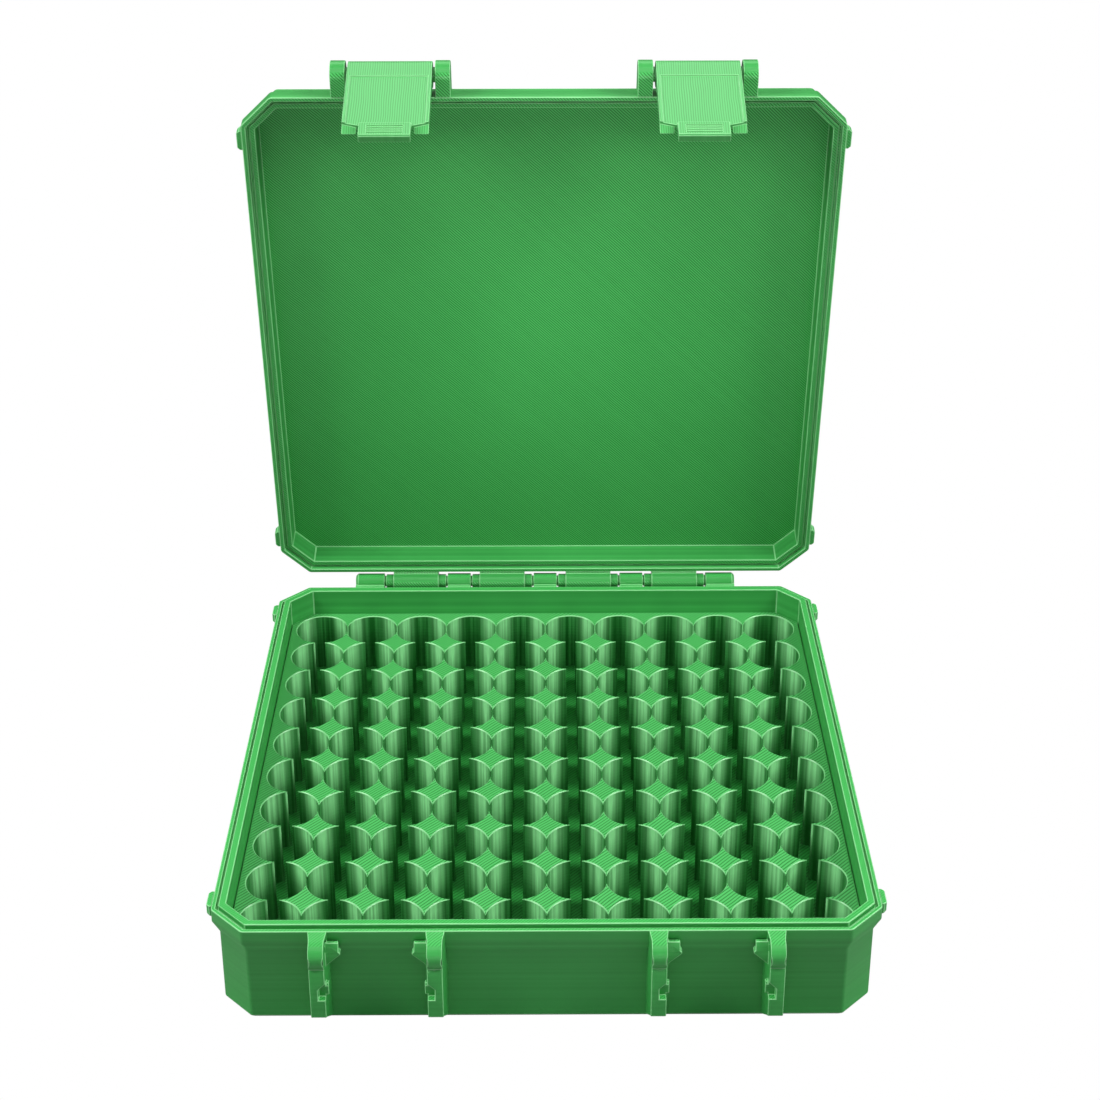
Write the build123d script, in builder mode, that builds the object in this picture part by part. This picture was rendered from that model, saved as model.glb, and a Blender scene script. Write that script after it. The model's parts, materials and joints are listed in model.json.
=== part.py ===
from build123d import *
from math import cos, radians, sin, sqrt
import os

os.makedirs("parts", exist_ok=True)

# Pockets: ten by ten, one vial in each, just overlapping their neighbours
pocket_pitch = 17.0
pocket_width = 17.05     # across its flats
pocket_sides = 20        # flats that make it all but round
pocket_count = 10

# Tray that stands in the base
tray_margin = 2.05       # stock outside the outer pockets
tray_drop = 8.0          # tray top below the base rim
tray_floor = 1.2
tray_clearance = 0.25

# Base and lid shells
base_height = 31.5
base_floor = 2.0
lid_height = 12.0
lid_ceiling = 2.7
wall = 2.2
rim_width = 4.1          # full width of the thickened rim
rim_height = 4.0         # its upright outer face
rim_slope = 4.0          # its sloping underside
corner_cut = 9.4
corner_round = 1.6
parting_gap = 0.2        # between the shut rims
base_chamfer = 1.2
lid_chamfer = 2.2

# Faces of the two rims, from the outside in
base_land = 1.25
base_groove = 0.75
base_groove_depth = 1.0
tongue_height = 0.8
lid_land = 1.45
lid_groove = 0.9
lid_groove_depth = 1.9
tongue_clearance = 0.3

# Bumpers on the sides of both rims
bumper_width = 6.5
bumper_proud = 1.6
bumper_inset = 14.5      # from the rim's end to the bumper's middle
bumper_chamfer = 0.8
bumper_setback = 0.4     # from the parting face
bumper_lean = 0.6

# Hinge at the back: five knuckles on the base, four on the lid
hinge_pitch = 30.0
hinge_setback = 3.9      # axis behind the rim
base_knuckle_width = 8.0
end_knuckle_width = 10.0
end_knuckle_chamfer = 0.8
base_knuckle_radius = 2.7
lid_arm_width = 15.6
lid_arm_radius = 3.2
lid_barrel_radius = 2.4
knuckle_gap = 0.6

# Cones that the hinge and the latches turn on
cone_sides = 12
cone_radius = 1.8
cone_reach = 1.5         # past the gap
cone_tip = 0.5
cone_clearance = 0.3

# Latches and the lugs that carry them
latch_spacing = 91.6     # between the two latches
latch_width = 25.2
latch_gap = 0.8          # to each lug
lug_width = 4.5
lug_radius = 4.3
pivot_out = 5.4          # latch axis in front of the rim
barrel_radius = 4.0
latch_cone_radius = 2.2
locked_tilt = 15.2       # slope of the locked latch
unlock_swing = 4.2       # outward turn that frees the catch
wall_clearance = 0.3     # from the locked latch to the base's wall
plate_thickness = 2.0
panel_recess = 0.4
panel_start = 5.7        # along the latch, from its axis
border_width = 1.1
shoulder_drop = 1.4      # length over which the sides draw in to the grip
grip_width = 15.0
grip_length = 5.9
grip_thickness = 2.6
grip_lift = 0.8          # proud of the plate
grip_chamfer = 0.5
grip_line = 0.4
grip_line_pitch = 1.0
grip_line_length = 10.5
grip_line_count = 4
cheek_thickness = 4.2
cheek_drop = 0.6         # top of the cheeks' inner edge below the parting face
toe_height = 5.0         # where the cheeks end, over the case's underside
toe_in = 1.3             # back from the cheeks' inner edge

# Ribs on the front of the base, a pair for each latch
rib_clearance = 1.1      # from a rib to the latch's side
rib_width = 4.2
rib_flare = 0.8          # extra at each side where it meets the wall
rib_reach = 6.2          # front face, in front of the rim
nose_reach = 7.0
nose_radius = 4.4
nose_drop = 0.5          # top of the nose below the base rim
ledge_drop = 9.1         # start of the lower rib below the base rim
rib_foot = 7.5
rib_edge = 0.35
keeper_length = 4.1
keeper_front = 2.6       # in front of the rim
keeper_back = 0.4
keeper_lip = 0.5
keeper_ramp = 1.2        # its front leans back above the hooking part
keeper_top_drop = 2.7    # heights below the base rim
keeper_tip_drop = 5.8
keeper_root_drop = 9.6
keeper_clearance = 0.3
notch_depth = 2.0
notch_height = 5.5
notch_drop = 15.5        # its middle below the base rim
stop_length = 4.0
stop_width = 2.2
stop_chamfer = 0.6
stop_proud = 0.8

# The lid stands open
open_angle = 80.2

# Sizes that follow from these
pocket_radius = pocket_width / 2
outer_pocket = pocket_pitch * (pocket_count - 1) / 2
tray_half = outer_pocket + pocket_radius + tray_margin
cavity_half = tray_half + tray_clearance
body_half = cavity_half + wall
rim_half = cavity_half + rim_width
tray_base = base_floor
pocket_floor = tray_base + tray_floor
tray_top = base_height - tray_drop
lid_plane = base_height + parting_gap
lid_top = lid_plane + lid_height
tongue_start = base_land + base_groove
hinge_y = rim_half + hinge_setback
hinge_z = base_height + parting_gap / 2
pivot_y = -rim_half - pivot_out
pivot_z = lid_plane + lug_radius
rib_gap = latch_width + 2 * rib_clearance
rib_ledge = base_height - ledge_drop
keeper_top = base_height - keeper_top_drop
keeper_tip = base_height - keeper_tip_drop
keeper_root = base_height - keeper_root_drop
notch_middle = base_height - notch_drop
hinge_axis = Axis((0, hinge_y, hinge_z), (1, 0, 0))
latch_axis = Axis((0, pivot_y, pivot_z), (1, 0, 0))


def outline(half):
    # vertices of a square with its corners cut off, all such outlines running parallel
    cut = corner_cut - (rim_half - half) * (2 - sqrt(2))
    run = half - cut
    points = [(half, -run), (half, run), (run, half), (-run, half)]
    return points + [(-x, -y) for x, y in points]


def pockets():
    # outlines of all the pockets, their flats facing the neighbours
    with BuildSketch() as holes:
        with GridLocations(pocket_pitch, pocket_pitch, pocket_count, pocket_count):
            RegularPolygon(pocket_radius, pocket_sides, major_radius=False,
                           rotation=180 / pocket_sides)
    return holes.sketch


def cut_square(half, mode=Mode.ADD):
    Polygon(*outline(half), align=None, mode=mode)


def rounded_outline(half, height):
    with BuildSketch(Plane.XY.offset(height)) as shape:
        with BuildLine():
            FilletPolyline(*outline(half), radius=corner_round, close=True)
        make_face()
    return shape.sketch


def rise(low_half, low, high_half, high):
    # solid length of shell between two outlines
    loft([rounded_outline(low_half, low), rounded_outline(high_half, high)])


def swing_open(part):
    # from shut to where the lid stands open
    return part.rotate(hinge_axis, -open_angle)


def save(part, name):
    part.label = name
    export_step(part, f"parts/{name}.step")


# Base shell: floor, walls, thickened rim, tongue and groove
with BuildPart() as base_shell:
    rim_bottom = base_height - rim_height
    slope_bottom = rim_bottom - rim_slope
    rise(body_half - base_chamfer, 0, body_half, base_chamfer)
    rise(body_half, base_chamfer, body_half, slope_bottom)
    rise(body_half, slope_bottom, rim_half, rim_bottom)
    rise(rim_half, rim_bottom, rim_half, base_height)
    with BuildSketch(Plane.XY.offset(base_height)):
        cut_square(rim_half - tongue_start)
    extrude(amount=tongue_height)
    with BuildSketch(Plane.XY.offset(base_height)):
        cut_square(rim_half - base_land)
        cut_square(rim_half - tongue_start, mode=Mode.SUBTRACT)
    extrude(amount=-base_groove_depth, mode=Mode.SUBTRACT)
    with BuildSketch(Plane.XY.offset(base_floor)):
        cut_square(cavity_half)
    extrude(amount=base_height, mode=Mode.SUBTRACT)
save(base_shell.part, "base_shell")

# Tray floor under all the pockets
with BuildPart() as tray_plate:
    with BuildSketch(Plane.XY.offset(tray_base)):
        cut_square(tray_half)
    extrude(amount=tray_floor)
save(tray_plate.part, "tray_floor")

# Star-shaped posts that the pockets leave between them
with BuildPart() as tray_posts:
    with BuildSketch(Plane.XY.offset(pocket_floor)):
        Rectangle(2 * outer_pocket, 2 * outer_pocket)
        add(pockets(), mode=Mode.SUBTRACT)
    extrude(amount=tray_top - pocket_floor)
save(tray_posts.part, "tray_posts")

# Scalloped border of the tray, one length along each side
border_depth = tray_half - outer_pocket
border_middle = (tray_half + outer_pocket) / 2
borders = {
    "front": (0, -border_middle, 2 * tray_half, border_depth),
    "back": (0, border_middle, 2 * tray_half, border_depth),
    "left": (-border_middle, 0, border_depth, 2 * outer_pocket),
    "right": (border_middle, 0, border_depth, 2 * outer_pocket),
}
for side, (x, y, size_x, size_y) in borders.items():
    with BuildPart() as tray_border:
        with BuildSketch(Plane.XY.offset(pocket_floor)):
            cut_square(tray_half)
            with Locations((x, y)):
                Rectangle(size_x, size_y, mode=Mode.INTERSECT)
            add(pockets(), mode=Mode.SUBTRACT)
        extrude(amount=tray_top - pocket_floor)
    save(tray_border.part, f"tray_border_{side}")

# Lid shell, drawn shut on the base
with BuildPart() as lid_shell:
    rim_top = lid_plane + rim_height
    slope_top = rim_top + rim_slope
    rise(rim_half, lid_plane, rim_half, rim_top)
    rise(rim_half, rim_top, body_half, slope_top)
    rise(body_half, slope_top, body_half, lid_top - lid_chamfer)
    rise(body_half, lid_top - lid_chamfer, body_half - lid_chamfer, lid_top)
    with BuildSketch(Plane.XY.offset(lid_plane)):
        cut_square(cavity_half)
    extrude(amount=lid_height - lid_ceiling, mode=Mode.SUBTRACT)
    with BuildSketch(Plane.XY.offset(lid_plane)):
        cut_square(rim_half - lid_land)
        cut_square(rim_half - lid_land - lid_groove, mode=Mode.SUBTRACT)
    extrude(amount=lid_groove_depth, mode=Mode.SUBTRACT)
    with BuildSketch(Plane.XY.offset(lid_plane)):
        cut_square(rim_half - lid_land - lid_groove)
    extrude(amount=tongue_height + tongue_clearance, mode=Mode.SUBTRACT)
save(swing_open(lid_shell.part), "lid_shell")

# Bumpers: short blocks on the rim, leaning back to it underneath
bumper_place = rim_half - bumper_inset


def bumper(side, place, rim_edge, inward):
    # rim_edge is the height of the parting face, inward points away from it
    rim_back = rim_edge + inward * rim_height
    with BuildPart() as block:
        with BuildSketch(Plane.XZ.offset(-place)):
            Polygon(
                (side * rim_half, rim_edge + inward * bumper_setback),
                (side * (rim_half + bumper_proud), rim_edge + inward * bumper_setback),
                (side * (rim_half + bumper_proud), rim_back - inward * bumper_lean),
                (side * rim_half, rim_back),
                align=None,
            )
        extrude(amount=bumper_width / 2, both=True)
        outer = block.faces().sort_by(Axis.X)[-1 if side > 0 else 0]
        chamfer(outer.edges().filter_by(Axis.Z), bumper_chamfer)
    return block.part


for side, side_name in ((-1, "left"), (1, "right")):
    for place, end_name in ((-bumper_place, "front"), (bumper_place, "back")):
        save(bumper(side, place, base_height, -1), f"base_bumper_{end_name}_{side_name}")
        lid_block = bumper(side, place, lid_plane, 1)
        save(swing_open(lid_block), f"lid_bumper_{end_name}_{side_name}")


# Cones and their seats: a short foot through the gap, then the cone, all pointing along +X
def turning_cone(radius, gap, clearance=0.0):
    with BuildPart() as cone:
        with BuildSketch(Plane.YZ):
            RegularPolygon(radius + clearance, cone_sides, major_radius=False)
        extrude(amount=gap + cone_reach + clearance)
        tip = cone.faces().sort_by(Axis.X)[-1]
        chamfer(tip.edges(), radius - cone_tip, cone_reach, reference=tip)
    return cone.part


def looking(side, x, y, z):
    # on the axis, turned to the right or to the left
    return Location((x, y, z), (0, 90 - 90 * side, 0))


hinge_cone = turning_cone(cone_radius, knuckle_gap)
hinge_seat = turning_cone(cone_radius, knuckle_gap, cone_clearance)
latch_cone = turning_cone(latch_cone_radius, latch_gap)
latch_seat = turning_cone(latch_cone_radius, latch_gap, cone_clearance)

# Base knuckles, each with a cone's seat on every side that meets the lid
knuckle_diagonal = base_knuckle_radius * cos(radians(45))
end_knuckle_x = 2 * hinge_pitch + (end_knuckle_width - base_knuckle_width) / 2
knuckles = [(-end_knuckle_x, end_knuckle_width, (1,))]
knuckles += [(x * hinge_pitch, base_knuckle_width, (-1, 1)) for x in (-1, 0, 1)]
knuckles += [(end_knuckle_x, end_knuckle_width, (-1,))]
for number, (x, width, sides) in enumerate(knuckles, 1):
    with BuildPart() as knuckle:
        with BuildSketch(Plane.YZ.offset(x)):
            with Locations((hinge_y, hinge_z)):
                Circle(base_knuckle_radius)
            Polygon(
                (rim_half, base_height),
                (hinge_y, base_height),
                (hinge_y + knuckle_diagonal, hinge_z - knuckle_diagonal),
                (body_half, hinge_z - hinge_y - 2 * knuckle_diagonal + body_half),
                (body_half, slope_bottom),
                (rim_half, rim_bottom),
                align=None,
            )
        extrude(amount=width / 2, both=True)
        for side in sides:
            cone_root = x + side * (width / 2 + knuckle_gap)
            with Locations(looking(-side, cone_root, hinge_y, hinge_z)):
                add(hinge_seat, mode=Mode.SUBTRACT)
        if len(sides) == 1:
            free_end = knuckle.faces().sort_by(Axis.X)[-1 if x > 0 else 0]
            chamfer(free_end.edges().sort_by(Axis.Z)[-1], end_knuckle_chamfer)
    save(knuckle.part, f"base_knuckle_{number}")

# Lid knuckles: a broad arm on a slimmer barrel with a cone at each end
barrel_width = hinge_pitch - base_knuckle_width - 2 * knuckle_gap
arm_diagonal = lid_arm_radius * cos(radians(45))
for number, place in enumerate((-1.5, -0.5, 0.5, 1.5), 1):
    x = place * hinge_pitch
    with BuildPart() as lid_arm:
        with BuildSketch(Plane.YZ.offset(x)):
            with Locations((hinge_y, hinge_z)):
                Circle(lid_arm_radius)
            Polygon(
                (rim_half, lid_plane),
                (hinge_y, lid_plane),
                (hinge_y + arm_diagonal, hinge_z + arm_diagonal),
                (body_half, lid_top - lid_chamfer),
                (body_half, slope_top),
                (rim_half, rim_top),
                align=None,
            )
        extrude(amount=lid_arm_width / 2, both=True)
        with BuildSketch(Plane.YZ.offset(x)):
            with Locations((hinge_y, hinge_z)):
                Circle(lid_barrel_radius)
        extrude(amount=barrel_width / 2, both=True)
        for side in (-1, 1):
            with Locations(looking(side, x + side * barrel_width / 2, hinge_y, hinge_z)):
                add(hinge_cone)
    save(swing_open(lid_arm.part), f"lid_knuckle_{number}")

# Lugs on the front of the lid, two for each latch
for latch_side, latch_name in ((-1, "left"), (1, "right")):
    latch_x = latch_side * latch_spacing / 2
    for side, side_name in ((-1, "left"), (1, "right")):
        inner_face = latch_x + side * (latch_width / 2 + latch_gap)
        with BuildPart() as lug:
            with BuildSketch(Plane.YZ.offset(inner_face)):
                with Locations((pivot_y, pivot_z)):
                    Circle(lug_radius)
                Polygon(
                    (-rim_half, lid_plane),
                    (pivot_y, lid_plane),
                    (pivot_y, pivot_z + lug_radius),
                    (-body_half, lid_top - lid_chamfer),
                    (-body_half, slope_top),
                    (-rim_half, rim_top),
                    align=None,
                )
            extrude(amount=side * lug_width)
            with Locations(looking(-side, inner_face, pivot_y, pivot_z)):
                add(latch_cone)
        save(swing_open(lug.part), f"lid_lug_{latch_name}_{side_name}")


def front(out, height):
    # point on the front of the case: distance before the rim, and height
    return (-rim_half - out, height)


# Ribs on the front of the base: profile from the side, narrowed from above
nose_out = nose_reach - nose_radius
nose_height = base_height - nose_drop - nose_radius
nose_low = nose_radius * cos(radians(45))
rib_x = rib_gap / 2 + rib_width / 2
for latch_side, latch_name in ((-1, "left"), (1, "right")):
    for side, side_name in ((-1, "left"), (1, "right")):
        x = latch_side * latch_spacing / 2 + side * rib_x
        inner = x - side * rib_width / 2
        with BuildPart() as rib:
            with BuildSketch(Plane.YZ.offset(x)):
                with BuildLine():
                    top = Line(front(0, base_height), front(nose_out, nose_height + nose_radius))
                    nose = ThreePointArc(
                        top @ 1,
                        front(nose_reach, nose_height),
                        front(nose_out + nose_low, nose_height - nose_low),
                    )
                    Polyline(
                        nose @ 1,
                        front(rib_reach, rib_ledge),
                        front(rib_reach, rib_foot),
                        (-body_half, base_chamfer),
                        (-body_half, slope_bottom),
                        front(0, rim_bottom),
                        front(0, base_height),
                    )
                make_face()
            extrude(amount=rib_width / 2 + rib_flare, both=True)
            with BuildSketch(Plane.XY):
                half = rib_width / 2
                Polygon(
                    (x - half - rib_flare, -body_half),
                    (x - half, -rim_half - rib_reach / 2),
                    (x - half, -rim_half - nose_reach + rib_edge),
                    (x - half + rib_edge, -rim_half - nose_reach),
                    (x + half - rib_edge, -rim_half - nose_reach),
                    (x + half, -rim_half - nose_reach + rib_edge),
                    (x + half, -rim_half - rib_reach / 2),
                    (x + half + rib_flare, -body_half),
                    align=None,
                )
            extrude(amount=base_height, mode=Mode.INTERSECT)
            # keeper that the latch hooks, sloping underneath
            with BuildSketch(Plane.XZ.offset(rim_half + keeper_back)):
                Polygon(
                    (inner + side * rib_width / 2, keeper_top),
                    (inner - side * (keeper_length - keeper_lip), keeper_top),
                    (inner - side * (keeper_length - keeper_lip), keeper_tip + 2 * keeper_lip),
                    (inner - side * keeper_length, keeper_tip + keeper_lip),
                    (inner - side * keeper_length, keeper_tip),
                    (inner, keeper_root),
                    (inner + side * rib_width / 2, keeper_root),
                    align=None,
                )
            extrude(amount=keeper_front - keeper_back)
            with BuildSketch(Plane.YZ.offset(inner)):
                Polygon(
                    front(keeper_front - keeper_ramp, keeper_top),
                    front(keeper_front, keeper_top),
                    front(keeper_front, keeper_top - 2 * keeper_ramp),
                    align=None,
                )
            extrude(amount=-side * keeper_length, mode=Mode.SUBTRACT)
            # notch in the inner front corner with a small stop behind it
            notch_top = notch_middle + notch_height / 2
            notch_low = notch_middle - notch_height / 2
            with BuildSketch(Plane.XZ.offset(rim_half + rib_reach - notch_depth)):
                Polygon(
                    (inner - side * rib_flare, notch_low),
                    (inner + side * notch_depth, notch_low),
                    (inner + side * notch_depth, notch_top - notch_depth),
                    (inner - side * rib_flare, notch_top + rib_flare),
                    align=None,
                )
            extrude(amount=nose_reach, mode=Mode.SUBTRACT)
            stop_out = rib_reach - notch_depth - stop_width / 2
            with BuildSketch(Plane.YZ.offset(inner + side * stop_proud)) as stop:
                with Locations(front(stop_out, notch_low + stop_length / 2)):
                    Rectangle(stop_width, stop_length)
                chamfer(stop.vertices(), stop_chamfer)
            extrude(amount=-side * 2 * stop_proud)
        save(rib.part, f"base_rib_{latch_name}_{side_name}")


# Latches, drawn shut and locked, then let out to where the catch is free
def along(distance, out):
    # point in the latch's own plane as one on the front of the case
    tilt = radians(locked_tilt)
    y = pivot_y + distance * sin(tilt) - out * cos(tilt)
    z = pivot_z - distance * cos(tilt) - out * sin(tilt)
    return (y, z)


def turned_in(y, z):
    # a point of the freed latch, where it comes to when the latch locks
    turn = radians(unlock_swing)
    dy = y - pivot_y
    dz = z - pivot_z
    return (pivot_y + dy * cos(turn) - dz * sin(turn), pivot_z + dy * sin(turn) + dz * cos(turn))


tilt = radians(locked_tilt)
latch_out = (0, -cos(tilt), -sin(tilt))
plate_inside = barrel_radius - plate_thickness
grip_top = barrel_radius + grip_lift
grip_inside = grip_top - grip_thickness
wall_reach = pivot_out + grip_inside * cos(tilt) + rim_half - body_half - wall_clearance
grip_end = wall_reach / sin(tilt)
shoulder_end = grip_end - grip_length
shoulder_start = shoulder_end - shoulder_drop
cheek_edge = keeper_front + keeper_clearance
half_latch = latch_width / 2
half_grip = grip_width / 2
for latch_side, latch_name in ((-1, "left"), (1, "right")):
    x = latch_side * latch_spacing / 2
    face_plane = Plane((x, pivot_y, pivot_z), x_dir=(1, 0, 0), z_dir=latch_out)
    with BuildPart() as latch:
        # barrel and plate, cut to the outline seen from the front
        with BuildSketch(Plane.YZ.offset(x)):
            with BuildLine():
                Polyline(
                    along(0, barrel_radius),
                    along(grip_end, barrel_radius),
                    along(grip_end, plate_inside),
                    along(0, plate_inside),
                    close=True,
                )
            make_face()
            with Locations((pivot_y, pivot_z)):
                Circle(barrel_radius)
        extrude(amount=half_latch, both=True)
        with BuildSketch(face_plane.offset(-3 * barrel_radius)):
            Polygon(
                (-half_latch, 2 * barrel_radius),
                (-half_latch, -shoulder_start),
                (-half_grip, -shoulder_end),
                (half_grip, -shoulder_end),
                (half_latch, -shoulder_start),
                (half_latch, 2 * barrel_radius),
                align=None,
            )
        extrude(amount=5 * barrel_radius, mode=Mode.INTERSECT)
        # cheeks that hook under the keepers
        for side in (-1, 1):
            with BuildSketch(Plane.YZ.offset(x + side * half_latch)):
                Polygon(
                    along(0, barrel_radius - plate_thickness / 2),
                    along(shoulder_start, barrel_radius - plate_thickness / 2),
                    turned_in(*front(cheek_edge - toe_in, toe_height)),
                    turned_in(*front(cheek_edge, keeper_root)),
                    turned_in(*front(cheek_edge, lid_plane - cheek_drop)),
                    along(0, 0),
                    align=None,
                )
            extrude(amount=-side * cheek_thickness)
        for side in (-1, 1):
            rib_face = x + side * rib_gap / 2
            with BuildSketch(Plane.XZ.offset(body_half)):
                Polygon(
                    (rib_face, keeper_top + keeper_clearance),
                    (x, keeper_top + keeper_clearance),
                    (x, keeper_tip - keeper_clearance),
                    (rib_face - side * keeper_length, keeper_tip - keeper_clearance),
                    (rib_face, keeper_root - keeper_clearance),
                    align=None,
                )
            extrude(amount=rim_half + cheek_edge - body_half, mode=Mode.SUBTRACT)
        # panel let in between slim borders
        with BuildSketch(face_plane.offset(barrel_radius)):
            with Locations((0, -panel_start)):
                Rectangle(latch_width - 2 * border_width, shoulder_end - panel_start,
                          align=(Align.CENTER, Align.MAX))
        extrude(amount=-panel_recess, mode=Mode.SUBTRACT)
        # grip with lines across it
        with BuildSketch(Plane.YZ.offset(x)):
            Polygon(
                along(shoulder_end - grip_lift, barrel_radius - panel_recess),
                along(shoulder_end, grip_top),
                along(grip_end - grip_chamfer, grip_top),
                along(grip_end, grip_top - grip_chamfer),
                along(grip_end, grip_inside),
                along(shoulder_end - grip_lift, grip_inside),
                align=None,
            )
        extrude(amount=half_grip, both=True)
        line_middle = -(shoulder_end + grip_end) / 2
        with BuildSketch(face_plane.offset(grip_top)):
            with Locations((0, line_middle)):
                with GridLocations(grip_line_length, grip_line_pitch, 1, grip_line_count):
                    Rectangle(grip_line_length, grip_line)
        extrude(amount=-grip_line, mode=Mode.SUBTRACT)
        # seats for the lugs' cones
        for side in (-1, 1):
            lug_face = x + side * (half_latch + latch_gap)
            with Locations(looking(-side, lug_face, pivot_y, pivot_z)):
                add(latch_seat, mode=Mode.SUBTRACT)
    freed = latch.part.rotate(latch_axis, -unlock_swing)
    save(swing_open(freed), f"latch_{latch_name}")

print("tray half", round(tray_half, 3), "rim half", round(rim_half, 3))
print("latch length", round(grip_end, 3))
print("hinge axis y z", round(hinge_y, 3), round(hinge_z, 3))
open_turn = radians(open_angle)
dy = pivot_y - hinge_y
dz = pivot_z - hinge_z
print("latch axis y z", round(hinge_y + dy * cos(open_turn) + dz * sin(open_turn), 3),
      round(hinge_z - dy * sin(open_turn) + dz * cos(open_turn), 3))
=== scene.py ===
import json
import math

import bmesh
import bpy
from mathutils import Matrix, Vector
from mathutils.geometry import tessellate_polygon


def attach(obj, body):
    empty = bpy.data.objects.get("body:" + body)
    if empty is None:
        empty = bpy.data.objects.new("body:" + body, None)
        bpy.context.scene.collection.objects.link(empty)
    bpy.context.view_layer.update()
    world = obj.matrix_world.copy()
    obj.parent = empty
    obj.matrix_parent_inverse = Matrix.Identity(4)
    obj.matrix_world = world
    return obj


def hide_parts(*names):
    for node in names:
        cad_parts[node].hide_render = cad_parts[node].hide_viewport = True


mm = 0.001  # sizes in the dictionaries are millimetres, meshes are metres

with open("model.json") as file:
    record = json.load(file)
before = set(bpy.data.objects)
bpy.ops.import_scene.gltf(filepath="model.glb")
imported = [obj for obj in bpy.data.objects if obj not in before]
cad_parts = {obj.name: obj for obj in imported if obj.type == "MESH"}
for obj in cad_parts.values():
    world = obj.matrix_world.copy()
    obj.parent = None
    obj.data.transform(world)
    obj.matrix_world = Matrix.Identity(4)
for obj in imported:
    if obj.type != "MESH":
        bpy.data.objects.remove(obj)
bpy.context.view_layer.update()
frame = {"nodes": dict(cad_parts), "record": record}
scene = bpy.context.scene
print("frame loaded:", len(frame["nodes"]), "nodes")

# the lid stands open, so its own directions are turned with it
lidAngle = 80.2
latchTilt = 11.0  # how far the latches' faces are turned from the lid's front
lidTurn = math.radians(lidAngle)
upDirection = Vector((0, 0, 1))
lidOutward = Vector((0, math.sin(lidTurn), math.cos(lidTurn)))     # out through the lid's top
lidFrontward = Vector((0, -math.cos(lidTurn), math.sin(lidTurn)))  # from the hinge to the latches


# Shader groups shared by the plastics

patterns = {
    "driftScale": 90.0,      # how quickly a laid line wanders
    "bandScale": 0.16,       # broad bands over several layers
    "grainScale": 2500.0,
    "facingStart": 0.8,      # how squarely a face looks along a direction before its pattern starts
    "facingEnd": 0.95,
    # painted sheen on the pocket flanks, and the heights over which painted shade fades it
    "sheenSharpness": 5,
    "sheenLow": 11.0,        # heights between which the sheen grows
    "sheenHigh": 21.0,
    "sheenLowest": 0.1,
    "streakStretch": 0.01,   # streaks run a hundred times as long as wide
    "mainAxis": 0.5,         # along each axis that holds more than this of their direction
    "ridgeMiddle": 0.6,      # mean height of a laid line's back
}


def newGroup(name, inputs, outputs):
    group = bpy.data.node_groups.new(name, "ShaderNodeTree")
    for socketName, socketType, default in inputs:
        socket = group.interface.new_socket(name=socketName, in_out="INPUT", socket_type=socketType)
        socket.default_value = default
    for socketName, socketType in outputs:
        group.interface.new_socket(name=socketName, in_out="OUTPUT", socket_type=socketType)
    return group


def addNode(tree, kind, x=0, y=0, **settings):
    node = tree.nodes.new(kind)
    node.location = (x, y)
    for key, value in settings.items():
        setattr(node, key, value)
    return node


def addMath(tree, operation, first, second=None, clamp=False):
    node = addNode(tree, "ShaderNodeMath", operation=operation, use_clamp=clamp)
    for socket, value in zip(node.inputs, (first, second)):
        if value is None:
            continue
        if isinstance(value, (int, float)):
            socket.default_value = value
        else:
            tree.links.new(value, socket)
    return node.outputs[0]


def addDot(tree, first, second):
    node = addNode(tree, "ShaderNodeVectorMath", operation="DOT_PRODUCT")
    tree.links.new(first, node.inputs[0])
    tree.links.new(second, node.inputs[1])
    return node.outputs["Value"]


def makeLineGroup():
    # round-backed lines laid side by side, each a little different from the next
    group = newGroup(
        "laidLines",
        [("Vector", "NodeSocketVector", (0, 0, 0)), ("Across", "NodeSocketVector", (0, 0, 1)),
         ("Pitch", "NodeSocketFloat", 0.0003), ("Waver", "NodeSocketFloat", 0.2)],
        [("Height", "NodeSocketFloat"), ("Tone", "NodeSocketFloat"), ("Bands", "NodeSocketFloat")])
    source = addNode(group, "NodeGroupInput", -900)
    result = addNode(group, "NodeGroupOutput", 900)
    distance = addDot(group, source.outputs["Vector"], source.outputs["Across"])
    counted = addMath(group, "DIVIDE", distance, source.outputs["Pitch"])
    drift = addNode(group, "ShaderNodeTexNoise", -300, -200)
    drift.inputs["Scale"].default_value = patterns["driftScale"]
    drift.inputs["Detail"].default_value = 1
    group.links.new(source.outputs["Vector"], drift.inputs["Vector"])
    wander = addMath(group, "MULTIPLY", drift.outputs["Fac"], source.outputs["Waver"])
    shifted = addMath(group, "ADD", counted, wander)
    along = addMath(group, "FRACT", shifted)
    backs = addMath(group, "SINE", addMath(group, "MULTIPLY", along, math.pi))
    number = addMath(group, "FLOOR", shifted)
    each = addNode(group, "ShaderNodeTexWhiteNoise", noise_dimensions="1D")
    group.links.new(number, each.inputs["W"])
    bands = addNode(group, "ShaderNodeTexNoise", noise_dimensions="1D")
    bands.inputs["Scale"].default_value = patterns["bandScale"]
    bands.inputs["Detail"].default_value = 3
    group.links.new(counted, bands.inputs["W"])
    group.links.new(backs, result.inputs["Height"])
    group.links.new(each.outputs["Value"], result.inputs["Tone"])
    group.links.new(bands.outputs["Fac"], result.inputs["Bands"])
    return group


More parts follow.
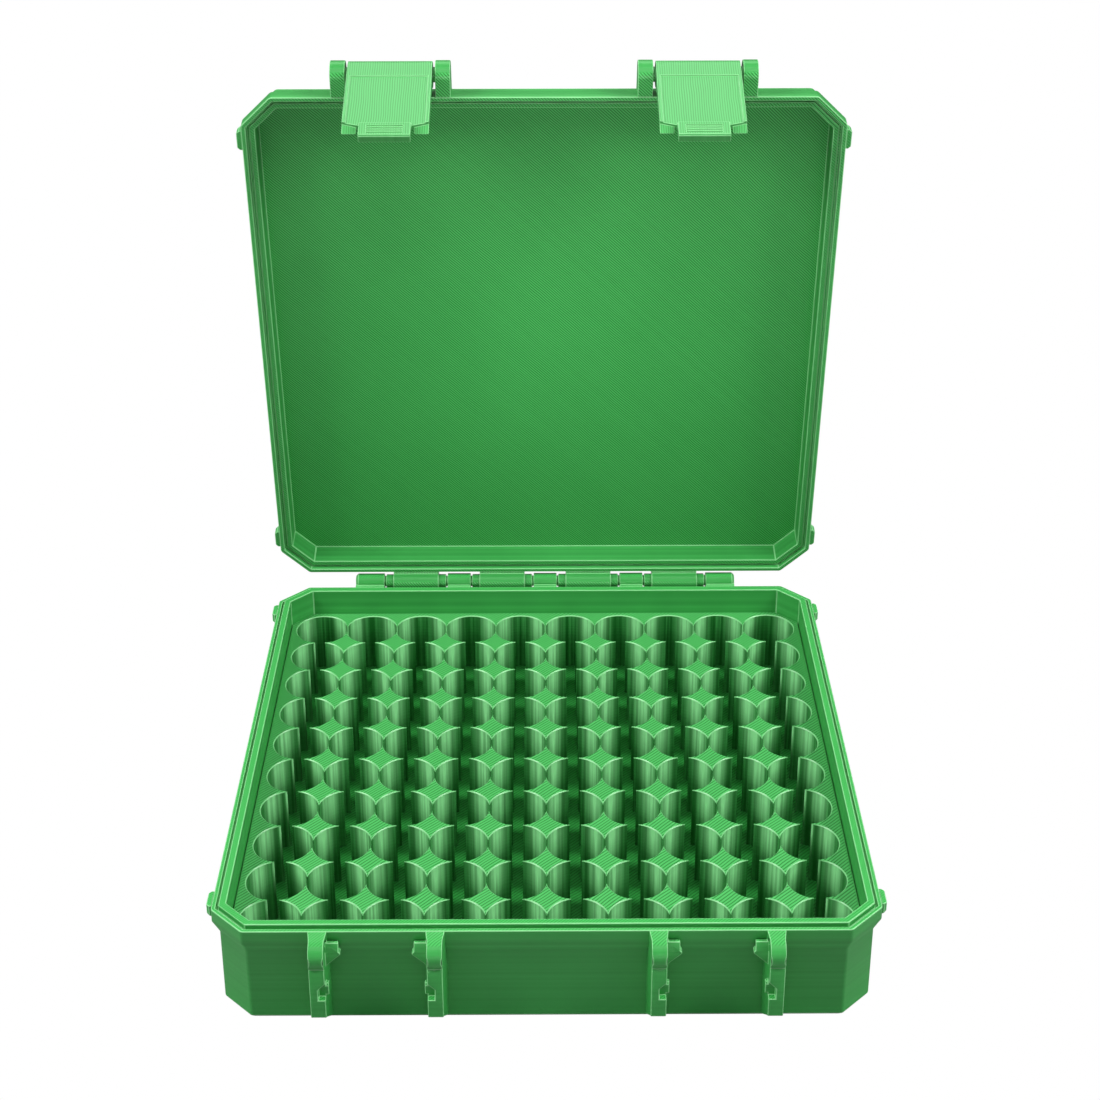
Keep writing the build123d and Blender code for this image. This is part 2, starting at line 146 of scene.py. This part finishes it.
def makeCloudGroup():
    # slow changes of tone over a face, and a fine satin grain
    group = newGroup(
        "plasticClouds",
        [("Vector", "NodeSocketVector", (0, 0, 0)), ("Size", "NodeSocketFloat", 40.0),
         ("Grain", "NodeSocketFloat", patterns["grainScale"])],
        [("Clouds", "NodeSocketFloat"), ("Grain", "NodeSocketFloat")])
    source = addNode(group, "NodeGroupInput", -600)
    result = addNode(group, "NodeGroupOutput", 600)
    for scaleName, outputName, detail in (("Size", "Clouds", 3), ("Grain", "Grain", 2)):
        noise = addNode(group, "ShaderNodeTexNoise")
        noise.inputs["Detail"].default_value = detail
        group.links.new(source.outputs["Vector"], noise.inputs["Vector"])
        group.links.new(source.outputs[scaleName], noise.inputs["Scale"])
        group.links.new(noise.outputs["Fac"], result.inputs[outputName])
    return group


def makeFacingGroup():
    # 1 on faces that look along a direction or back along it, 0 on the walls between
    group = newGroup(
        "facing",
        [("Normal", "NodeSocketVector", (0, 0, 1)), ("Direction", "NodeSocketVector", (0, 0, 1))],
        [("Facing", "NodeSocketFloat")])
    source = addNode(group, "NodeGroupInput", -600)
    result = addNode(group, "NodeGroupOutput", 600)
    along = addDot(group, source.outputs["Normal"], source.outputs["Direction"])
    aligned = addMath(group, "ABSOLUTE", along)
    step = addNode(group, "ShaderNodeMapRange", interpolation_type="SMOOTHSTEP")
    step.inputs["From Min"].default_value = patterns["facingStart"]
    step.inputs["From Max"].default_value = patterns["facingEnd"]
    group.links.new(aligned, step.inputs["Value"])
    group.links.new(step.outputs["Result"], result.inputs["Facing"])
    return group


def makePaintedSheenGroup():
    # painted sheen: walls are painted palest on flanks at 45 degrees to the case's sides, a
    # highlight standing in for the side lamps, and painted shade makes it less so further down
    group = newGroup(
        "silkSheen",
        [("Normal", "NodeSocketVector", (0, 0, 1)), ("Vector", "NodeSocketVector", (0, 0, 0)),
         ("Streak", "NodeSocketFloat", 0.0), ("Amount", "NodeSocketFloat", 0.8)],
        [("Sheen", "NodeSocketFloat")])
    source = addNode(group, "NodeGroupInput", -600)
    result = addNode(group, "NodeGroupOutput", 600)
    parts = addNode(group, "ShaderNodeSeparateXYZ")
    group.links.new(source.outputs["Normal"], parts.inputs["Vector"])
    product = addMath(group, "MULTIPLY", parts.outputs["X"], parts.outputs["Y"])
    flank = addMath(group, "ABSOLUTE", addMath(group, "MULTIPLY", product, 2))
    narrow = addMath(group, "POWER", flank, patterns["sheenSharpness"])
    place = addNode(group, "ShaderNodeSeparateXYZ")
    group.links.new(source.outputs["Vector"], place.inputs["Vector"])
    # painted shade: the painted sheen fades towards the bottom of the pockets
    paintedDepthShade = addNode(group, "ShaderNodeMapRange")
    for socketName, value in (("From Min", patterns["sheenLow"] * mm),
                              ("From Max", patterns["sheenHigh"] * mm),
                              ("To Min", patterns["sheenLowest"]), ("To Max", 1)):
        paintedDepthShade.inputs[socketName].default_value = value
    group.links.new(place.outputs["Z"], paintedDepthShade.inputs["Value"])
    sheenWithDepthShade = addMath(group, "MULTIPLY", narrow, paintedDepthShade.outputs["Result"])
    brighter = addMath(group, "ADD", source.outputs["Streak"], 1)
    streaked = addMath(group, "MULTIPLY", sheenWithDepthShade, brighter)
    scaled = addMath(group, "MULTIPLY", streaked, source.outputs["Amount"], clamp=True)
    group.links.new(scaled, result.inputs["Sheen"])
    return group


lineGroup = makeLineGroup()
cloudGroup = makeCloudGroup()
facingGroup = makeFacingGroup()
paintedSheenGroup = makePaintedSheenGroup()


def placeGroup(tree, group, values):
    node = addNode(tree, "ShaderNodeGroup", node_tree=group)
    for key, value in values.items():
        if isinstance(value, bpy.types.NodeSocket):
            tree.links.new(value, node.inputs[key])
        else:
            node.inputs[key].default_value = value
    return node


def addStreaks(tree, vector, along, look):
    # drawn lines that run straight along one direction, centred on no change
    flatten = addNode(tree, "ShaderNodeVectorMath", operation="MULTIPLY")
    flatten.inputs[1].default_value = [
        patterns["streakStretch"] if abs(part) > patterns["mainAxis"] else 1 for part in along]
    tree.links.new(vector, flatten.inputs[0])
    streaks = placeGroup(tree, cloudGroup, {
        "Vector": flatten.outputs["Vector"], "Size": look["streakScale"],
        "Grain": patterns["grainScale"]})
    centred = addMath(tree, "SUBTRACT", streaks.outputs["Clouds"], 0.5)
    return addMath(tree, "MULTIPLY", centred, look["streakTone"])


def makePlastic(name, look, layerAcross, faceAcross, faceDirection):
    # walls show stacked layers, faces along faceDirection show the lines of their last layer
    material = bpy.data.materials.new(name)
    material.use_nodes = True
    tree = material.node_tree
    shader = tree.nodes["Principled BSDF"]
    place = addNode(tree, "ShaderNodeTexCoord", -1600)
    vector = place.outputs["Object"]
    layers = placeGroup(tree, lineGroup, {
        "Vector": vector, "Across": layerAcross,
        "Pitch": look["layerPitch"] * mm, "Waver": look["layerWaver"]})
    raster = placeGroup(tree, lineGroup, {
        "Vector": vector, "Across": faceAcross,
        "Pitch": look["rasterPitch"] * mm, "Waver": look["rasterWaver"]})
    clouds = placeGroup(tree, cloudGroup, {
        "Vector": vector, "Size": look["cloudScale"], "Grain": patterns["grainScale"]})
    facing = placeGroup(tree, facingGroup, {
        "Normal": place.outputs["Normal"], "Direction": faceDirection})
    mask = facing.outputs["Facing"]

    def choose(wallValue, faceValue):
        mix = addNode(tree, "ShaderNodeMix", data_type="FLOAT")
        tree.links.new(mask, mix.inputs["Factor"])
        tree.links.new(wallValue, mix.inputs["A"])
        tree.links.new(faceValue, mix.inputs["B"])
        return mix.outputs["Result"]

    def scaled(value, factorName):
        return addMath(tree, "MULTIPLY", value, look[factorName])

    wallTone = addMath(tree, "ADD", scaled(layers.outputs["Bands"], "bandTone"),
                       scaled(layers.outputs["Tone"], "layerTone"))
    streaks = addStreaks(tree, vector, layerAcross, look)
    wallTone = addMath(tree, "ADD", wallTone, streaks)
    ridge = addMath(tree, "SUBTRACT", raster.outputs["Height"], patterns["ridgeMiddle"])
    hatch = addMath(tree, "ADD", scaled(ridge, "rasterTone"), look["faceTone"])
    faceTone = addMath(tree, "ADD", hatch, scaled(raster.outputs["Tone"], "lineTone"))
    tone = addMath(tree, "ADD", choose(wallTone, faceTone),
                   scaled(clouds.outputs["Clouds"], "cloudTone"))
    ramp = addNode(tree, "ShaderNodeValToRGB")
    ramp.color_ramp.elements[0].position = 0.0
    ramp.color_ramp.elements[0].color = (*look["deepColour"], 1)
    ramp.color_ramp.elements[1].position = 1.0
    ramp.color_ramp.elements[1].color = (*look["paleColour"], 1)
    tree.links.new(tone, ramp.inputs["Fac"])
    # painted highlight on the pocket flanks, mixed into the base colour
    sheen = placeGroup(tree, paintedSheenGroup, {
        "Normal": place.outputs["Normal"], "Vector": vector,
        "Streak": streaks, "Amount": look["sheen"]})
    paintedSheenMix = addNode(tree, "ShaderNodeMix", data_type="RGBA")
    paintedSheenMix.inputs[7].default_value = (*look["sheenColour"], 1)  # 6 and 7 are the node's two colours
    tree.links.new(sheen.outputs["Sheen"], paintedSheenMix.inputs[0])
    tree.links.new(ramp.outputs["Color"], paintedSheenMix.inputs[6])
    tree.links.new(paintedSheenMix.outputs[2], shader.inputs["Base Color"])

    roughness = addNode(tree, "ShaderNodeMapRange")
    roughness.inputs["To Min"].default_value = look["roughness"] - look["roughnessSpread"]
    roughness.inputs["To Max"].default_value = look["roughness"] + look["roughnessSpread"]
    tree.links.new(clouds.outputs["Clouds"], roughness.inputs["Value"])
    tree.links.new(roughness.outputs["Result"], shader.inputs["Roughness"])

    height = addMath(tree, "ADD", choose(layers.outputs["Height"], raster.outputs["Height"]),
                     scaled(clouds.outputs["Grain"], "grainHeight"))
    bump = addNode(tree, "ShaderNodeBump")
    bump.inputs["Strength"].default_value = look["bumpStrength"]
    bump.inputs["Distance"].default_value = look["bumpHeight"] * mm
    tree.links.new(height, bump.inputs["Height"])
    tree.links.new(bump.outputs["Normal"], shader.inputs["Normal"])
    shader.inputs["IOR"].default_value = look["ior"]
    shader.inputs["Specular IOR Level"].default_value = look["specular"]
    return material


plasticLook = {
    "deepColour": (0.024, 0.250, 0.042),
    "paleColour": (0.062, 0.430, 0.095),
    # colour and share of the painted sheen, a highlight painted on pocket flanks; none on plain
    # plastic
    "sheenColour": (0.30, 0.80, 0.34),
    "sheen": 0.0,
    "layerPitch": 0.3,
    "layerWaver": 0.3,
    "rasterPitch": 0.68,
    "rasterWaver": 1.2,
    "streakScale": 1000.0,
    "streakTone": 0.0,
    "cloudScale": 45.0,
    "bandTone": 0.55,
    "layerTone": 0.12,
    "lineTone": 0.15,
    "faceTone": 0.36,
    "rasterTone": 1.8,
    "cloudTone": 0.35,
    "roughness": 0.33,
    "roughnessSpread": 0.06,
    "ior": 1.5,
    "specular": 0.32,
    "bumpStrength": 0.35,
    "bumpHeight": 0.02,
    "grainHeight": 0.3,      # share of the bump
}
# paler copy of the plastic, a painted highlight along broken edges and rims
paintedEdgeHighlightLook = {**plasticLook, "deepColour": (0.16, 0.52, 0.19), "paleColour": (0.28, 0.68, 0.31),
            "rasterTone": 0.1, "bandTone": 0.3}
lidLook = {**plasticLook, "deepColour": (0.012, 0.16, 0.023),
           "paleColour": (0.085, 0.52, 0.125), "rasterTone": 2.4, "faceTone": 0.4,
           "cloudTone": 0.25}
# latch plastic made whiter than the rest of the case, a painted highlight
latchPaintedHighlightLook = {**plasticLook, "deepColour": (0.045, 0.26, 0.062), "paleColour": (0.09, 0.42, 0.12),
             "rasterTone": 1.4}
# tray plastic: deep colour darker as painted shade inside the pockets, pale colour whiter as a
# painted highlight on the post tops, with the painted flank sheen
trayPaintedLightLook = {**plasticLook, "deepColour": (0.010, 0.13, 0.018),
            "paleColour": (0.080, 0.43, 0.112), "rasterPitch": 0.95, "faceTone": 0.6,
            "bandTone": 0.1, "cloudTone": 0.2, "streakTone": 2.2, "sheen": 1.0}
# tray floor plastic painted darker still, as painted shade down in the slots between the posts
trayFloorPaintedShadeLook = {**trayPaintedLightLook, "deepColour": (0.008, 0.10, 0.015), "paleColour": (0.03, 0.27, 0.048)}

diagonalX = 1 / math.sqrt(2)
levelDiagonal = Vector((diagonalX, -diagonalX, 0))
lidDiagonal = diagonalX * Vector((1, 0, 0)) + diagonalX * lidFrontward
latchTurn = math.radians(lidAngle - latchTilt)
latchOutward = Vector((0, -math.cos(latchTurn), math.sin(latchTurn)))  # the way their faces look
sideways = Vector((1, 0, 0))


# each plastic with its paler copy, the painted edge highlight
def plasticPair(name, layerAcross, faceAcross, faceDirection, look=plasticLook):
    return (makePlastic(name, look, layerAcross, faceAcross, faceDirection),
            makePlastic(name + "Edge", paintedEdgeHighlightLook, layerAcross, faceAcross, faceDirection))


plastics = {
    "base": plasticPair("basePlastic", upDirection, levelDiagonal, upDirection),
    "lid": plasticPair("lidPlastic", lidOutward, lidDiagonal, lidOutward, lidLook),
    "latch": plasticPair("latchPlastic", sideways, sideways, latchOutward, latchPaintedHighlightLook),
    "tray": plasticPair("trayPlastic", upDirection, levelDiagonal, upDirection, trayPaintedLightLook),
    "trayFloor": plasticPair("trayFloorPlastic", upDirection, levelDiagonal, upDirection,
                             trayFloorPaintedShadeLook),
}
print("plastics made")


# Pieces carried over from the CAD, with their edges broken

edgeWidths = {"shell": 0.28, "rib": 0.22, "bumper": 0.25, "knuckle": 0.2, "lug": 0.2,
              "latch": 0.16}
creases = {"carried": 32, "tray": 35, "flat": 0.2}  # degrees between two faces
mergeDistance = 0.0005  # millimetres


def edgeBreak(piece, width):
    bevel = piece.modifiers.new("brokenEdges", "BEVEL")
    bevel.limit_method = "ANGLE"
    bevel.angle_limit = math.radians(creases["carried"])
    bevel.width = width * mm
    bevel.segments = 2
    bevel.use_clamp_overlap = False
    bevel.harden_normals = True
    # the bevel faces take the paler plastic, a painted edge highlight
    bevel.material = 1  # the pale edge plastic


def markCreases(shape, angle):
    for edge in shape.edges:
        if len(edge.link_faces) == 2 and edge.calc_face_angle() > math.radians(angle):
            edge.smooth = False


def meshFromNode(nodeName):
    mesh = frame["nodes"][nodeName].data.copy()
    shape = bmesh.new()
    shape.from_mesh(mesh)
    bmesh.ops.remove_doubles(shape, verts=shape.verts, dist=mergeDistance * mm)
    bmesh.ops.dissolve_limit(shape, angle_limit=math.radians(creases["flat"]),
                             verts=shape.verts, edges=shape.edges)
    for face in shape.faces:
        face.smooth = True
    markCreases(shape, creases["carried"])
    shape.to_mesh(mesh)
    shape.free()
    mesh.materials.clear()
    return mesh


def camelName(nodeName):
    words = nodeName.split("_")
    return words[0] + "".join(word.capitalize() for word in words[1:])


def addPiece(name, mesh, body, plastic, nodes):
    piece = bpy.data.objects.new(name, mesh)
    scene.collection.objects.link(piece)
    for material in plastics[plastic]:
        mesh.materials.append(material)
    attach(piece, body)
    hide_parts(*nodes)
    return piece


bodies = frame["record"]["behaviour"]["bodies"]
for bodyName, nodeNames in bodies.items():
    for nodeName in nodeNames:
        if nodeName.startswith("tray"):
            continue  # made anew below, with rounder pockets
        kind = next(key for key in edgeWidths if key in nodeName)
        plastic = bodyName.split("_")[0]
        mesh = meshFromNode(nodeName)
        piece = addPiece(camelName(nodeName), mesh, bodyName, plastic, [nodeName])
        edgeBreak(piece, edgeWidths[kind])
print("shells, ribs, lugs, knuckles and latches carried over")


# Pocket tray

trayShape = {
    "pitch": 17.0, "radius": 8.615, "perSide": 10, "half": 87.075, "cornerCut": 6.857,
    "bottom": 3.2, "top": 23.5, "rimBreak": 0.28, "bluntTip": 0.05, "arcSteps": 14,
    "tipTaper": 3,  # how fast the rim's break widens from the ends of each arc
}


def pocketArc(centre, radius, wider, startAngle, endAngle, steps):
    # widened in the middle and not at the ends, so that the sharp tips keep their length
    points = []
    for i in range(steps + 1):
        angle = startAngle + (endAngle - startAngle) * i / steps
        reach = radius + wider * min(1, trayShape["tipTaper"] * math.sin(math.pi * i / steps))
        points.append((centre[0] + reach * math.cos(angle), centre[1] + reach * math.sin(angle)))
    return points


def postOutline(wider):
    # four hollow sides between sharp tips
    half, radius = trayShape["pitch"] / 2, trayShape["radius"]
    lean = math.asin((half - trayShape["bluntTip"]) / radius)
    points = []
    for quarter in range(4):
        spin = math.pi / 2 * quarter
        centre = (half * (math.cos(spin) - math.sin(spin)),
                  half * (math.sin(spin) + math.cos(spin)))
        middle = math.pi * 1.25 + spin
        reach = lean - math.pi / 4
        points += pocketArc(centre, radius, wider, middle + reach, middle - reach,
                            trayShape["arcSteps"])
    return points


def scallopOutline(wider):
    # inner edge of the tray's border, once round through the outer pockets
    pitch, count, radius = trayShape["pitch"], trayShape["perSide"], trayShape["radius"]
    far = pitch * (count - 1) / 2
    gap = math.acos((pitch / 2 - trayShape["bluntTip"]) / radius)  # half of a slot's angle
    points = []
    for side in range(4):
        spin = math.pi / 2 * side
        for place in range(1, count):
            centre = Vector((-far + pitch * place, -far)).to_3d()
            centre.rotate(Matrix.Rotation(spin, 3, "Z"))
            corner = place == count - 1  # a corner pocket has three quarters of its wall
            start = math.pi + gap
            end = (2.5 if corner else 2) * math.pi - gap
            steps = trayShape["arcSteps"] * (3 if corner else 2)
            points += pocketArc(centre, radius, wider, start + spin, end + spin, steps)
    return points


def octagon(half, cut):
    run = half - cut
    corners = [(half, -run), (half, run), (run, half), (-run, half)]
    return corners + [(-x, -y) for x, y in corners]


def ringOf(shape, outline, height):
    return [shape.verts.new((x * mm, y * mm, height * mm)) for x, y in outline]


def bridge(shape, lower, upper, materialIndex, inward=False):
    count = len(lower)
    for i in range(count):
        j = (i + 1) % count
        corners = [lower[i], lower[j], upper[j], upper[i]]
        face = shape.faces.new(corners[::-1] if inward else corners)
        face.material_index = materialIndex
        face.smooth = materialIndex == 0


def makePostMesh():
    shape = bmesh.new()
    top, small = trayShape["top"], trayShape["rimBreak"]
    low = ringOf(shape, postOutline(0), trayShape["bottom"])
    high = ringOf(shape, postOutline(0), top - small)
    crown = ringOf(shape, postOutline(small), top)
    bridge(shape, low, high, 0)
    # the rim's break takes the paler plastic, a painted edge highlight
    bridge(shape, high, crown, 1)
    shape.faces.new(crown)
    shape.faces.new(low[::-1])
    bmesh.ops.recalc_face_normals(shape, faces=shape.faces)
    markCreases(shape, creases["tray"])
    mesh = bpy.data.meshes.new("starPost")
    shape.to_mesh(mesh)
    shape.free()
    return mesh


def makePostTree():
    # one post on every crossing of a square grid
    tree = bpy.data.node_groups.new("postGrid", "GeometryNodeTree")
    for socketName, socketType in (
            ("Post", "NodeSocketObject"), ("Pitch", "NodeSocketFloat"),
            ("Posts Per Side", "NodeSocketInt"), ("Plastic", "NodeSocketMaterial")):
        tree.interface.new_socket(name=socketName, in_out="INPUT", socket_type=socketType)
    tree.interface.new_socket(name="Geometry", in_out="OUTPUT", socket_type="NodeSocketGeometry")
    source = addNode(tree, "NodeGroupInput", -800)
    result = addNode(tree, "NodeGroupOutput", 800)
    span = addNode(tree, "ShaderNodeMath", -600, operation="SUBTRACT")
    span.inputs[1].default_value = 1
    width = addNode(tree, "ShaderNodeMath", -450, operation="MULTIPLY")
    grid = addNode(tree, "GeometryNodeMeshGrid", -250)
    shown = addNode(tree, "GeometryNodeObjectInfo", -250, -250)
    spread = addNode(tree, "GeometryNodeInstanceOnPoints", 0)
    real = addNode(tree, "GeometryNodeRealizeInstances", 250)
    coat = addNode(tree, "GeometryNodeSetMaterial", 500)
    edge = addNode(tree, "GeometryNodeInputMaterialIndex", 250, -250)
    isFace = addNode(tree, "FunctionNodeCompare", 380, -250, data_type="INT", operation="EQUAL")
    links = tree.links
    links.new(source.outputs["Posts Per Side"], span.inputs[0])
    links.new(span.outputs[0], width.inputs[0])
    links.new(source.outputs["Pitch"], width.inputs[1])
    for axis in ("X", "Y"):
        links.new(width.outputs[0], grid.inputs[f"Size {axis}"])
        links.new(source.outputs["Posts Per Side"], grid.inputs[f"Vertices {axis}"])
    links.new(source.outputs["Post"], shown.inputs["Object"])
    links.new(grid.outputs["Mesh"], spread.inputs["Points"])
    links.new(shown.outputs["Geometry"], spread.inputs["Instance"])
    links.new(spread.outputs["Instances"], real.inputs["Geometry"])
    links.new(edge.outputs["Material Index"], isFace.inputs[2])
    links.new(isFace.outputs["Result"], coat.inputs["Selection"])
    links.new(real.outputs["Geometry"], coat.inputs["Geometry"])
    links.new(source.outputs["Plastic"], coat.inputs["Material"])
    links.new(coat.outputs["Geometry"], result.inputs["Geometry"])
    return tree


def setInput(modifier, socketName, value):
    for item in modifier.node_group.interface.items_tree:
        if item.item_type == "SOCKET" and item.in_out == "INPUT" and item.name == socketName:
            modifier[item.identifier] = value


def makePosts():
    postMesh = makePostMesh()
    for material in plastics["tray"]:
        postMesh.materials.append(material)
    post = bpy.data.objects.new("starPost", postMesh)
    holder = bpy.data.objects.new("postHolder", bpy.data.meshes.new("postHolder"))
    scene.collection.objects.link(post)
    scene.collection.objects.link(holder)
    modifier = holder.modifiers.new("postGrid", "NODES")
    modifier.node_group = makePostTree()
    setInput(modifier, "Post", post)
    setInput(modifier, "Pitch", trayShape["pitch"] * mm)
    setInput(modifier, "Posts Per Side", trayShape["perSide"] - 1)
    setInput(modifier, "Plastic", plastics["tray"][0])
    bpy.context.view_layer.update()
    evaluated = holder.evaluated_get(bpy.context.evaluated_depsgraph_get())
    mesh = bpy.data.meshes.new_from_object(evaluated)
    mesh.name = "trayPosts"
    bpy.data.objects.remove(holder)
    bpy.data.objects.remove(post)
    piece = bpy.data.objects.new("trayPosts", mesh)
    scene.collection.objects.link(piece)
    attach(piece, "base")
    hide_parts("tray_posts")


def fillBetween(shape, outer, inner, upward):
    loops = [[vertex.co for vertex in outer], [vertex.co for vertex in inner]]
    vertices = outer + inner
    for corners in tessellate_polygon(loops):
        face = shape.faces.new([vertices[i] for i in corners])
        face.normal_update()
        if (face.normal.z > 0) != upward:
            face.normal_flip()


def makeBorder():
    shape = bmesh.new()
    top, small, bottom = trayShape["top"], trayShape["rimBreak"], trayShape["bottom"]
    half, cut = trayShape["half"], trayShape["cornerCut"]
    outerLow = ringOf(shape, octagon(half, cut), bottom)
    outerHigh = ringOf(shape, octagon(half, cut), top - small)
    outerCrown = ringOf(shape, octagon(half - small, cut), top)
    innerLow = ringOf(shape, scallopOutline(0), bottom)
    innerHigh = ringOf(shape, scallopOutline(0), top - small)
    innerCrown = ringOf(shape, scallopOutline(small), top)
    bridge(shape, outerLow, outerHigh, 0)
    # the rims' breaks take the paler plastic, a painted edge highlight
    bridge(shape, outerHigh, outerCrown, 1)
    bridge(shape, innerLow, innerHigh, 0, inward=True)
    bridge(shape, innerHigh, innerCrown, 1, inward=True)
    fillBetween(shape, outerCrown, innerCrown, True)
    fillBetween(shape, outerLow, innerLow, False)
    markCreases(shape, creases["tray"])
    mesh = bpy.data.meshes.new("trayBorder")
    shape.to_mesh(mesh)
    shape.free()
    borders = [f"tray_border_{side}" for side in ("front", "back", "left", "right")]
    addPiece("trayBorder", mesh, "base", "tray", borders)


makePosts()
makeBorder()
addPiece("trayFloor", meshFromNode("tray_floor"), "base", "trayFloor", ["tray_floor"])
print("pocket tray made")


# Floor, light and camera

studio = {  # metres, watts and degrees
    "floorSize": 6.0, "floorTone": 0.3, "floorDrop": 0.0002, "worldStrength": 0.16,
    "baseTarget": (0, 0, 0.06), "lidTarget": (0, 0.07, 0.22),
    "topPower": 2.2, "topSize": 0.5, "topPlace": (0.0, -0.5, 1.0),
    "sidePower": 9.8, "sideSize": 0.45, "sidePlace": (0.74, -0.16, 0.76),
    "backPower": 2.2, "backSize": 0.5, "backPlace": (0.0, 0.6, 1.0),
    "spotPower": 9.0, "spotAngle": 20, "spotSoftness": 0.08,
    "spotPlace": (0.0, -0.6, 0.12), "spotTarget": (0.01, 0.08, 0.145),
}


def placeLamp(name, data, place, target):
    lamp = bpy.data.objects.new(name, data)
    lamp.location = place
    aim = Vector(target) - Vector(place)
    lamp.rotation_euler = aim.to_track_quat("-Z", "Y").to_euler()
    scene.collection.objects.link(lamp)


def addSoftbox(name, place, size, power, target):
    data = bpy.data.lights.new(name, "AREA")
    data.shape = "SQUARE"
    data.size = size
    data.energy = power
    placeLamp(name, data, place, target)


def addLidSpot():
    # soft round light beside the camera that fades before the lid's corners
    data = bpy.data.lights.new("lidSpot", "SPOT")
    data.energy = studio["spotPower"]
    data.spot_size = math.radians(studio["spotAngle"])
    data.spot_blend = 1
    data.shadow_soft_size = studio["spotSoftness"]
    placeLamp("lidSpot", data, studio["spotPlace"], studio["spotTarget"])


def makeFloor():
    # grey paper that lights the case from below, and plain white where the camera sees it
    half = studio["floorSize"] / 2
    mesh = bpy.data.meshes.new("studioFloor")
    corners = [(-half, -half, 0), (half, -half, 0), (half, half, 0), (-half, half, 0)]
    mesh.from_pydata(corners, [], [(0, 1, 2, 3)])
    floor = bpy.data.objects.new("studioFloor", mesh)
    floor.location.z = -studio["floorDrop"]
    scene.collection.objects.link(floor)
    material = bpy.data.materials.new("studioPaper")
    material.use_nodes = True
    tree = material.node_tree
    shader = tree.nodes["Principled BSDF"]
    shader.inputs["Base Color"].default_value = (*[studio["floorTone"]] * 3, 1)
    shader.inputs["Roughness"].default_value = 1
    shader.inputs["Specular IOR Level"].default_value = 0
    glow = addNode(tree, "ShaderNodeEmission")
    glow.inputs["Color"].default_value = (1, 1, 1, 1)
    seen = addNode(tree, "ShaderNodeLightPath")
    mix = addNode(tree, "ShaderNodeMixShader")
    output = tree.nodes["Material Output"]
    tree.links.new(seen.outputs["Is Camera Ray"], mix.inputs["Fac"])
    tree.links.new(shader.outputs["BSDF"], mix.inputs[1])
    tree.links.new(glow.outputs["Emission"], mix.inputs[2])
    tree.links.new(mix.outputs["Shader"], output.inputs["Surface"])
    mesh.materials.append(material)


def makeWorld():
    world = bpy.data.worlds.new("studioWorld")
    world.use_nodes = True
    tree = world.node_tree
    background = tree.nodes["Background"]
    seen = addNode(tree, "ShaderNodeLightPath")
    strength = addNode(tree, "ShaderNodeMapRange")
    strength.inputs["To Min"].default_value = studio["worldStrength"]
    strength.inputs["To Max"].default_value = 1.0
    tree.links.new(seen.outputs["Is Camera Ray"], strength.inputs["Value"])
    tree.links.new(strength.outputs["Result"], background.inputs["Strength"])
    background.inputs["Color"].default_value = (1, 1, 1, 1)
    scene.world = world


makeFloor()
makeWorld()
for name, target in (("top", "baseTarget"), ("back", "lidTarget")):
    addSoftbox(name + "Softbox", studio[name + "Place"], studio[name + "Size"],
               studio[name + "Power"], studio[target])
sideX, sideY, sideZ = studio["sidePlace"]
for name, side in (("sideSoftboxLeft", -1), ("sideSoftboxRight", 1)):
    addSoftbox(name, (side * sideX, sideY, sideZ), studio["sideSize"], studio["sidePower"],
               studio["baseTarget"])
addLidSpot()

cameraSet = {
    "place": (-0.96, -531.3, 393.1), "down": 24.97, "turn": -0.25, "roll": -0.06,
    "focalPixels": 2059.7, "imagePixels": 1100, "centreRow": 400, "sensorWidth": 36,
}
cameraData = bpy.data.cameras.new("camera")
cameraData.sensor_width = cameraSet["sensorWidth"]
cameraData.lens = cameraSet["focalPixels"] / cameraSet["imagePixels"] * cameraSet["sensorWidth"]
cameraData.shift_y = cameraSet["centreRow"] / cameraSet["imagePixels"] - 0.5
camera = bpy.data.objects.new("camera", cameraData)
camera.location = Vector(cameraSet["place"]) * mm
aim = (Matrix.Rotation(math.radians(cameraSet["turn"]), 3, "Z")
       @ Matrix.Rotation(math.radians(90 - cameraSet["down"]), 3, "X")
       @ Matrix.Rotation(math.radians(cameraSet["roll"]), 3, "Z"))
camera.rotation_euler = aim.to_euler()
scene.collection.objects.link(camera)
scene.camera = camera
scene.view_settings.view_transform = "Standard"
print("studio and camera placed")
